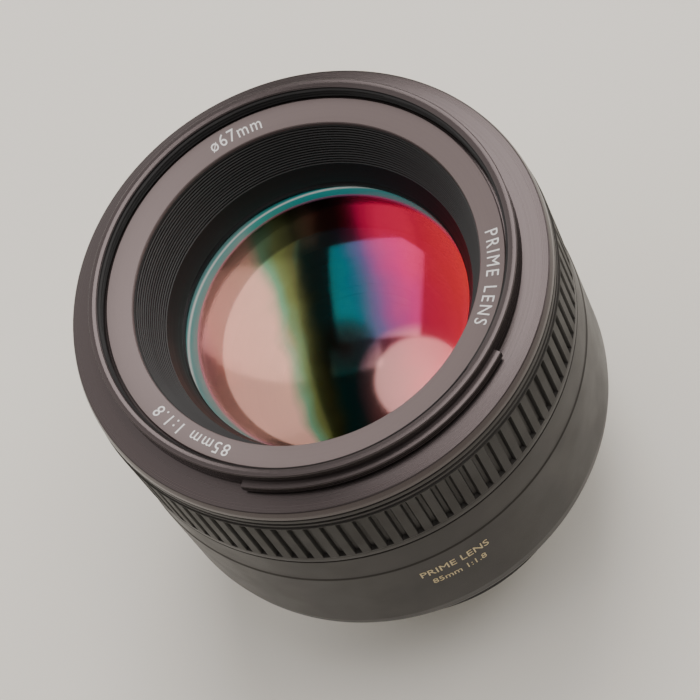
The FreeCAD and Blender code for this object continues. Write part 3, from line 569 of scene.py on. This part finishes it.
def filter_collar():
    """The collar with its 67 mm thread, blackened inside."""
    rim, low, high = radius("filter_collar"), foot("filter_collar"), top("filter_collar")
    seat, ring_floor = radius("name_ring"), foot("name_ring")
    bore, crest, pitch = 33.5, 0.38, 0.75
    thread_foot, thread_top = 70.35, high - 0.22
    steps = 44
    outline = rounded([(WEB_BORE, low), (rim, low), (rim, high, 0.22), (34.25, high, 0.1),
                       (bore + 0.2, high - 0.125, 0.05)])
    for i in range(steps + 1):
        outline.append(Vector((bore, thread_top + (thread_foot - thread_top) * i / steps)))
    outline += [Vector((seat, thread_foot)), Vector((seat, ring_floor)), Vector((WEB_BORE, ring_floor))]

    def thread(r, z, angle):
        """Draws the bore in along a helix, less towards both ends of the thread."""
        if abs(r - bore) > 1e-4:
            return r, z
        phase = (z / pitch + angle / TAU) % 1.0
        ridge = max(0.0, 1.0 - abs(phase - 0.5) * 2.6)
        fade = min(1.0, (thread_top - z) / 0.35, (z - thread_foot) / 0.3)
        return r - crest * min(1.0, ridge * 1.2) * max(0.0, fade), z

    bm = bmesh.new()
    turn(bm, outline, bend=thread)
    for face in bm.faces:
        middle = face.calc_center_median()
        if middle.xy.length < bore + 0.05 and thread_foot < middle.z < thread_top:
            face.material_index = 1
    piece("filter_collar_threaded", bm, "barrel", "filter_collar", [FRONT, BAFFLE], sharp=50)


def hood_lugs():
    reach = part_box("filter_collar")[1].y / MM
    root = radius("filter_collar") - 0.3
    low, high = 69.8, 71.25
    span = 75.7
    for name, centre in (("hood_lug_lower", UNDERSIDE + 0.4), ("hood_lug_upper", TOP + 0.4)):
        bm = bmesh.new()
        outline = rounded([(root, low), (reach, low, 0.1), (reach, high, 0.22), (root, high)])
        turn(bm, outline, centre - span / 2, centre + span / 2, SEGMENTS * 2)
        bevel(bm, 0.12)
        piece(name, bm, "barrel", None, FRONT)


def nose():
    """The wide front ring, with the sleeve behind it that the focus ring turns on."""
    low, high = foot("front_barrel"), top("front_barrel")
    edge, rim = radius("front_barrel"), radius("filter_collar")
    sleeve, lip = 37.2, 66.75
    web_foot, web_top = 67.4, foot("filter_collar")
    corners = [(SLEEVE_BORE, low), (sleeve, low), (sleeve, lip), (edge, lip, 0.12), (39.5, 67.6, 0.3),
               (39.18, 68.7, 0.32), (rim, high), (rim, web_top), (WEB_BORE, web_top), (WEB_BORE, web_foot),
               (SLEEVE_BORE, web_foot)]
    ring("front_nose", corners, "barrel", "front_barrel", FRONT)


def printed_ring():
    """The shallow cone inside the rim, and the lettering that lies along it."""
    edge, low = radius("name_ring"), foot("name_ring")
    inner, outer = 28.5, 32.56
    inner_top, outer_top = 70.06, 70.92
    corners = [(inner, low), (edge, low), (edge, 70.6, 0.05), (outer, 70.9, 0.08), (28.62, 70.08, 0.06),
               (inner, 69.9)]
    ring("name_ring_cone", corners, "barrel", "name_ring", NAME_RING_SHEEN)
    slope = (outer_top - inner_top) / (outer - inner)
    middle = 30.72
    level = inner_top + (middle - inner) * slope
    for name, words, centre, width, gap in (("print_focal_length", "85mm 1:1.8", 211.4, 0.86, 1.22),
                                            ("print_lens_kind", "PRIME LENS", 329.7, 0.84, 1.3),
                                            ("print_filter_size", "ø67mm", 89.8, 0.95, 1.15)):
        lettering(name, words, 2.15, centre, middle, level, "barrel", WHITE, width,
                  slope=slope, gap=gap)


def baffle():
    """The ribbed cone in front of the glass: fine steps above, a smooth band below."""
    mouth, throat = Vector((28.25, 69.3)), Vector((24.1, 58.3))
    seat, shoulder, wall = 27.2, 66.5, WEB_BORE
    ribs, ribbed_part = 15, 0.66
    inner = []
    for i in range(ribs):
        start = mouth.lerp(throat, ribbed_part * i / ribs)
        end = mouth.lerp(throat, ribbed_part * (i + 1) / ribs)
        inner += [start, Vector((start.x + 0.03, start.y + (end.y - start.y) * 0.35)),
                  Vector((end.x + 0.18, end.y + 0.12)), Vector((end.x, end.y + 0.06))]
    last = mouth.lerp(throat, ribbed_part)
    inner += [last, Vector((last.x - 0.1, last.y - 0.25)), throat]
    bm = bmesh.new()
    turn(bm, inner + [Vector((seat, throat.y)), Vector((wall, shoulder)), Vector((wall, mouth.y))])
    piece("front_baffle_ribbed", bm, "barrel", "front_baffle", BAFFLE)


def front_retainer():
    corners = [(23.9, 57.1), (27.2, 57.1), (27.2, 58.3), (25.2, 58.3, 0.1), (24.6, 58.25), (23.9, 57.6, 0.15)]
    ring("front_retainer_turned", corners, "barrel", "front_retaining_ring", ANODISED)


# --- glass -----------------------------------------------------------------------------------

# The polished elements: the heights of the rear and front vertex, the radii of curvature of the
# rear and front surface, positive where it bulges out of the glass, and the radius of the edge.
ELEMENTS = {
    1: (52.4, 61.8, 90.0, 62.0, 24.4),
    2: (47.4, 51.9, -110.0, 45.0, 22.6),
    3: (43.2, 46.9, -60.0, 36.0, 20.0),
    4: (39.9, 41.6, -48.0, 95.0, 18.4),
}


def cap(bm, vertex, curve, edge, material_index):
    """One spherical surface of a lens, from its vertex to its edge; gives back the edge's points.

    curve is its radius of curvature, positive where the surface bulges towards the subject.
    """
    rings, segments = 40, 192
    centre = bm.verts.new((0, 0, vertex))
    loops = []
    for i in range(1, rings + 1):
        r = edge * i / rings
        z = vertex - curve + math.copysign(math.sqrt(curve * curve - r * r), curve)
        loops.append([on_circle(bm, r, TAU * k / segments, z) for k in range(segments)])
    faces = [bm.faces.new((centre, loops[0][k], loops[0][(k + 1) % segments])) for k in range(segments)]
    for low, high in zip(loops, loops[1:]):
        faces += skin(bm, low, high)
    for face in faces:
        face.material_index = material_index
    return loops[-1]


def glass(number, front_coat, rear_coat):
    rear, front, rear_curve, front_curve, edge = ELEMENTS[number]
    bm = bmesh.new()
    front_edge = cap(bm, front, front_curve, edge, 0)
    rear_edge = cap(bm, rear, -rear_curve, edge, 1)
    for face in skin(bm, front_edge, rear_edge):
        face.material_index = 2
    piece("lens_element_{}_polished".format(number), bm, "barrel", "lens_element_{}".format(number),
          [front_coat, rear_coat, BAFFLE])


# --- focus ring ------------------------------------------------------------------------------

# The radius of the bed of the grip on the focus ring.
GRIP_BED = 38.9


def focus_ring():
    low, high = foot("focus_ring"), top("focus_ring")
    bore, rim = 37.28, 39.8
    corners = [(bore, low), (rim, low, 0.15), (rim, 51.3, 0.12), (GRIP_BED, 51.35), (GRIP_BED, 64.0),
               (39.62, 64.0, 0.1), (39.68, 64.95, 0.16), (39.2, 65.1, 0.05), (39.2, 65.3, 0.05),
               (39.62, 65.45, 0.18), (39.55, high, 0.18), (bore, high)]
    ring("focus_ring_shell", corners, "focus_control", "focus_ring", PLASTIC)


def grip():
    """The rubber sleeve: raised bars with square-ended pockets between them."""
    bars, depth, soft, hem = 96, 0.72, 0.14, 0.12
    half_bar = 0.85
    crown = radius("focus_grip")
    half_pitch = TAU * crown / bars / 2
    low, high = foot("focus_grip"), top("focus_grip")
    pocket_low, pocket_high = low + 0.55, high - 0.5
    edge = [half_bar - soft, half_bar - soft * 0.35, half_bar, half_bar + soft * 0.25, half_bar + soft]
    offsets = [-v for v in reversed(edge)] + [0.0] + edge + [half_pitch]
    along = [low, low + hem, pocket_low - soft, pocket_low - soft * 0.35, pocket_low, pocket_low + soft * 0.3,
             pocket_low + soft]
    along += [pocket_low + (pocket_high - pocket_low) * f for f in (0.1, 0.25, 0.4, 0.55, 0.7, 0.85)]
    along += [pocket_high - soft, pocket_high - soft * 0.3, pocket_high, pocket_high + soft * 0.35,
              pocket_high + soft, high - hem, high]

    def sink(distance):
        """0 on the crown, 1 on the pocket floor, rounded where they meet."""
        f = min(1.0, max(0.0, (distance + soft) / (2 * soft)))
        return f * f * (3 - 2 * f)

    def surface(offset, z):
        if z in (low, high):
            return crown - hem
        return crown - depth * min(sink(abs(offset) - half_bar), sink(min(z - pocket_low, pocket_high - z)))

    bm = bmesh.new()
    columns = []
    for i in range(bars):
        for offset in offsets:
            angle = TAU * i / bars + offset / crown
            section = [(GRIP_BED, low)] + [(surface(offset, z), z) for z in along] + [(GRIP_BED, high)]
            columns.append([on_circle(bm, r, angle, z) for r, z in section])
    for first, second in zip(columns, columns[1:] + columns[:1]):
        skin(bm, first, second)
    piece("focus_grip_ribbed", bm, "focus_control", "focus_grip", RUBBER, sharp=60)


# --- outer barrel ----------------------------------------------------------------------------

# The direction of the focus-mode switch about the optical axis, in degrees from +X, and its height.
SWITCH_SIDE = 18.0
SWITCH_LEVEL = 33.0
# How far the window and the switch plate reach round the barrel, in degrees.
WINDOW_SPAN = 36.0
PLATE_SPAN = 30.0


def main_barrel():
    low, high, widest = foot("main_barrel"), top("main_barrel"), radius("main_barrel")
    bore, lip_foot = 38.3, 48.0
    floor_bore, floor_low, floor_high = 31.2, 39.0, 40.0
    corners = [(bore, low), (39.2, low), (39.72, 21.6, 1.2), (widest, 23.6, 3.0), (widest, 42.0, 0.15),
               (39.82, 42.35, 0.1), (39.8, high, 0.2), (SLEEVE_BORE, high), (SLEEVE_BORE, lip_foot),
               (bore, lip_foot), (bore, floor_high), (floor_bore, floor_high), (floor_bore, floor_low),
               (bore, floor_low)]
    thing = ring("main_barrel_shell", corners, "barrel", "main_barrel", PLASTIC, steps=6)
    pane_low, pane_high = foot("scale_window"), top("scale_window")
    plate_low, plate_high = foot("switch_plate"), top("switch_plate")
    # The pane and the plate each sit in a shallow seat, with a smaller opening through the wall.
    inside, seat, outside = 37.0, 39.0, 42.0
    carve(thing, [
        sector_cutter(38.6, outside, pane_low - 0.1, pane_high + 0.1, TOP, WINDOW_SPAN + 0.3),
        sector_cutter(inside, seat, pane_low + 0.8, pane_high - 0.8, TOP, WINDOW_SPAN - 3.0),
        sector_cutter(38.4, outside, plate_low - 0.08, plate_high + 0.08, SWITCH_SIDE, PLATE_SPAN + 0.2),
        sector_cutter(inside, seat, plate_low + 1.0, plate_high - 1.0, SWITCH_SIDE, PLATE_SPAN - 4.0)])


def window():
    """The clear pane and the index line behind it."""
    low, high = foot("scale_window"), top("scale_window")
    inner, outer = 38.6, 39.9
    bm = bmesh.new()
    outline = rounded([(inner, low), (outer, low, 0.2), (outer, high, 0.2), (inner, high)])
    turn(bm, outline, TOP - WINDOW_SPAN / 2, TOP + WINDOW_SPAN / 2)
    bevel(bm, 0.15)
    piece("scale_window_pane", bm, "barrel", "scale_window", WINDOW)
    bm = bmesh.new()
    outline = [(38.35, low + 0.9), (38.5, low + 0.9), (38.5, low + 2.4), (38.35, low + 2.4)]
    turn(bm, outline, TOP - 0.25, TOP + 0.25, 1440)
    piece("scale_index_line", bm, "barrel", None, WHITE)


def distance_scale():
    """The drum behind the window with its two rows of distances, each at its turn of the drum."""
    low, high = foot("distance_scale"), top("distance_scale")
    inner, outer = 35.6, 36.15
    ring("distance_drum", [(inner, low), (outer, low, 0.1), (outer, high, 0.1), (inner, high)], "focus_drive",
         "distance_scale", BAFFLE)
    feet = (("∞", 0.0), ("30", 9.0), ("15", 20.0), ("10", 33.0), ("7", 47.0), ("5", 60.0), ("4", 72.0),
            ("3", 84.0))
    metres = (("∞", 0.0), ("9", 10.5), ("5", 21.5), ("3", 34.0), ("2", 49.0), ("1.5", 61.5), ("1", 74.5),
              ("0.8", 85.0))
    for row, marks, level, material in (("feet", feet, 35.6, AMBER), ("metres", metres, 33.3, WHITE)):
        for number, (words, turned_by) in enumerate(marks):
            lettering("scale_{}_{}".format(row, number), words, 1.5, TOP - turned_by, outer + 0.01, level,
                      "focus_drive", material, 0.9, side=True, raise_by=0.015)


def at_switch(r, across):
    """A place at the switch's level, at a radius and a distance along the knob's travel."""
    return around(SWITCH_SIDE, r) @ Matrix.Translation((0, across, SWITCH_LEVEL))


def switch():
    """The focus-mode switch: its plate, the knob with its grip lines, and the two pairs of letters."""
    low, high = foot("switch_plate"), top("switch_plate")
    inner, outer = 38.4, 39.95
    knob_at = 1.75
    bm = bmesh.new()
    outline = rounded([(inner, low), (outer, low, 0.15), (outer, high, 0.15), (inner, high)])
    turn(bm, outline, SWITCH_SIDE - PLATE_SPAN / 2, SWITCH_SIDE + PLATE_SPAN / 2)
    bevel(bm, 0.1)
    plate = piece("switch_plate_panel", bm, "barrel", "switch_plate", PLASTIC)
    carve(plate, [block_cutter((8.0, 6.2, 3.4), at_switch(39.0, 0))])
    # The knob, and the cover on its foot that closes the slot behind it.
    bm = bmesh.new()
    block(bm, (4.3, 2.3, 2.9), at_switch(38.85, knob_at))
    block(bm, (0.7, 9.7, 5.4), at_switch(37.2, knob_at))
    bevel(bm, 0.15)
    knob = piece("mode_switch_knob", bm, "mode_control", "mode_switch", PLASTIC)
    carve(knob, [block_cutter((0.5, 0.28, 4.0), at_switch(41.05, knob_at + i)) for i in (-0.6, 0.0, 0.6)])
    for name, words, across in (("switch_auto", "AF", 5.6), ("switch_manual", "MF", -5.6)):
        lettering(name, words, 1.5, SWITCH_SIDE + math.degrees(across / outer), outer + 0.01, SWITCH_LEVEL,
                  "barrel", WHITE, 0.9, side=True)


def rear_barrel():
    low, high = foot("rear_barrel"), top("rear_barrel")
    bore = 29.4
    corners = [(bore, low), (30.8, low), (31.0, 9.3, 2.0), (36.4, 16.7, 3.0), (39.2, high, 0.3), (37.6, high),
               (34.8, 17.7), (bore, 10.7)]
    ring("rear_barrel_shell", corners, "barrel", "rear_barrel", PLASTIC, steps=8)


def bottom_print():
    for name, words, height, level in (("print_barrel_kind", "PRIME LENS", 2.0, 37.2),
                                       ("print_barrel_size", "85mm 1:1.8", 1.7, 33.6)):
        lettering(name, words, height, UNDERSIDE + 1.0, radius("main_barrel") + 0.01, level, "barrel", AMBER,
                  0.85, side=True)


# --- mount -----------------------------------------------------------------------------------

# The circle that the mount's screws and the lock-pin hole lie on, the screws' places on it, and
# the directions of the bayonet's claws.
SCREW_CIRCLE = 26.8
SCREWS = [around(45 + 90 * i, SCREW_CIRCLE) for i in range(4)]
CLAWS = (30.0, 150.0, 270.0)


def mount_plate():
    """The flange with its spigot, a countersunk hole for each screw, the lock-pin hole and the claws."""
    low, high, edge = foot("bayonet_mount"), top("bayonet_mount"), radius("bayonet_mount")
    bore, spigot, relief = 20.6, 22.2, 0.3
    outline = rounded([(bore, low, 0.1), (spigot, low, 0.15), (spigot, relief), (24.0, relief),
                       (24.0, 0.0, 0.06), (29.5, 0.0, 0.06), (edge, relief, 0.1), (edge, high), (bore, high)])
    bm = bmesh.new()
    turn(bm, outline)
    plate = piece("bayonet_mount_plate", bm, "barrel", "bayonet_mount", CHROME)
    cutters = []
    for place in SCREWS:
        cutters.append(rod_cutter(2.02, 1.1, -0.02, 0.95, place))
        cutters.append(rod_cutter(1.02, 1.02, 0.5, 3.0, place))
    cutters.append(rod_cutter(1.75, 1.75, -1.0, 1.6, around(0, SCREW_CIRCLE)))
    carve(plate, cutters)
    root, tip, claw_low, claw_high, half_span = 22.0, 23.6, -5.0, -3.2, 31.0
    for i, centre in enumerate(CLAWS):
        bm = bmesh.new()
        outline = rounded([(root, claw_low), (tip, claw_low, 0.2), (tip, claw_high, 0.2), (root, claw_high)])
        turn(bm, outline, centre - half_span, centre + half_span)
        bevel(bm, 0.15)
        piece("mount_claw_{}".format(i + 1), bm, "barrel", None, CHROME)


def mount_screws():
    """The four countersunk screws, with a cross in each head."""
    bm = bmesh.new()
    for place in SCREWS:
        rod(bm, 1.9, 1.0, 0.03, 0.93, place)
        rod(bm, 1.0, 1.0, 0.9, 4.4, place)
    screws = piece("mount_screw_set", bm, "barrel", "mount_screws", STEEL)
    carve(screws, [block_cutter((2.3, 0.36, 0.9), place @ Matrix.Rotation(math.radians(twist), 4, "Z"))
                   for place in SCREWS for twist in (20.0, 110.0)])


def gasket():
    inner, outer, high = radius("bayonet_mount"), 30.8, top("mount_gasket")
    ring("mount_gasket_lip", [(inner, 0.5), (30.75, 0.4, 0.3), (outer, high), (inner, high)], "barrel",
         "mount_gasket", SEAL)


# --- everything else keeps its CAD shape -----------------------------------------------------

KEPT = {
    "contact_block": INNER, "contact_pins": GOLD, "rear_baffle": BAFFLE, "index_dot": WHITE,
    "front_cell": INNER, "manual_ring": INNER, "drive_ring": INNER, "roller_axles": STEEL,
    "motor_rotor": ANODISED, "motor_stator": BRASS, "motor_spring": STEEL, "circuit_board": GREEN,
    "guide_sleeve": ANODISED, "focus_carrier": ANODISED, "cam_pins": BRASS, "rear_retaining_ring": ANODISED,
    "iris_base": ANODISED, "iris_cover": ANODISED, "aperture_ring": BRASS, "aperture_lever": STEEL,
}
KEPT.update({"lens_element_{}".format(number): OLIVE for number in range(5, 10)})
KEPT.update({"roller_{}".format(number): STEEL for number in range(1, 4)})
KEPT.update({"iris_blade_{}".format(number): LEAF for number in range(1, 8)})

for name, material in KEPT.items():
    NODES[name].data.materials.clear()
    NODES[name].data.materials.append(material)

filter_collar()
hood_lugs()
nose()
printed_ring()
baffle()
front_retainer()
glass(1, FRONT_COAT, REAR_COAT)
glass(2, ROSE, FAINT)
glass(3, OLIVE, FAINT)
glass(4, FAINT, FAINT)
focus_ring()
grip()
main_barrel()
window()
distance_scale()
switch()
rear_barrel()
bottom_print()
mount_plate()
mount_screws()
gasket()


# --- stage, light and camera -----------------------------------------------------------------

def floor_material():
    made, tree, shader = new_material("pale_floor")
    slow = grain(tree, 166.7, 2.0)
    tree.links.new(tint(tree, slow, (0.92, 0.89, 0.80), (0.95, 0.92, 0.84)), shader.inputs["Base Color"])
    shader.inputs["Roughness"].default_value = 0.7
    return made


def floor():
    """A floor 5 m wide, 0.1 mm under the lens."""
    bm = bmesh.new()
    bmesh.ops.create_grid(bm, x_segments=2, y_segments=2, size=2.5 / MM)
    thing = made_of("floor", bm)
    thing.data.materials.append(floor_material())
    thing.location.z = cad_box[0].z - 0.1 * MM


# Where the camera stands, and the directions to the right and up in its picture.
EYE = Vector((21.4, -214.8, 410.1)) * MM
RIGHT = Vector((0.8891, -0.3707, -0.2685)).normalized()
UP = Vector((0.4550, 0.7793, 0.4309))


def camera():
    data = bpy.data.cameras.new("camera")
    data.sensor_width = 36.0
    data.lens = 131.55
    data.clip_start = 0.01
    thing = bpy.data.objects.new("camera", data)
    back = RIGHT.cross(UP).normalized()
    axes = Matrix((RIGHT, back.cross(RIGHT), back)).transposed()
    thing.matrix_world = Matrix.Translation(EYE) @ axes.to_4x4()
    bpy.context.scene.collection.objects.link(thing)
    bpy.context.scene.camera = thing


# What the lights face: a point on the axis, in the front half of the lens.
LIT_POINT = Vector((0, 0, 0.06))
LIGHT_COLOUR = (1.0, 0.955, 0.935)
ROOM_COLOUR = (1.0, 0.97, 0.94, 1.0)
ROOM_STRENGTH = 0.22


def softbox(name, azimuth, elevation, along, distance, width, height, radiance, shape="RECTANGLE"):
    """A soft light that faces the lens from a direction about its axis, in degrees and metres.

    Its height runs along a given direction, as far as its own plane allows.
    """
    data = bpy.data.lights.new(name, "AREA")
    data.shape = shape
    data.size = width
    data.size_y = height
    data.energy = radiance * math.pi * width * height
    data.color = LIGHT_COLOUR
    thing = bpy.data.objects.new(name, data)
    a, e = math.radians(azimuth), math.radians(elevation)
    depth = Vector((math.cos(e) * math.cos(a), math.cos(e) * math.sin(a), math.sin(e)))
    side = along.cross(depth).normalized()
    axes = Matrix((side, depth.cross(side), depth)).transposed()
    thing.matrix_world = Matrix.Translation(LIT_POINT + depth * distance) @ axes.to_4x4()
    bpy.context.scene.collection.objects.link(thing)


def lights():
    edge = Vector((-0.263, -0.866, 0.426))
    upright = Vector((0.0, 0.0, 1.0))
    softbox("large_softbox", 138.0, 41.5, edge, 0.8, 0.75, 1.5, 1.15)
    softbox("right_softbox", 62.0, 58.0, edge, 0.9, 0.42, 0.60, 5.6)
    softbox("top_softbox", 88.0, 82.0, edge, 1.0, 0.28, 0.16, 2.4)
    softbox("high_softbox", -26.0, 72.5, edge, 1.0, 0.52, 0.52, 3.0, "ELLIPSE")
    softbox("side_softbox", 8.0, 20.0, upright, 1.3, 1.0, 0.7, 2.6)
    softbox("front_fill", -80.0, 32.0, upright, 1.3, 1.4, 0.8, 0.4)
    world = bpy.data.worlds.new("studio")
    world.use_nodes = True
    world.node_tree.nodes["Background"].inputs["Color"].default_value = ROOM_COLOUR
    world.node_tree.nodes["Background"].inputs["Strength"].default_value = ROOM_STRENGTH
    bpy.context.scene.world = world


floor()
camera()
lights()
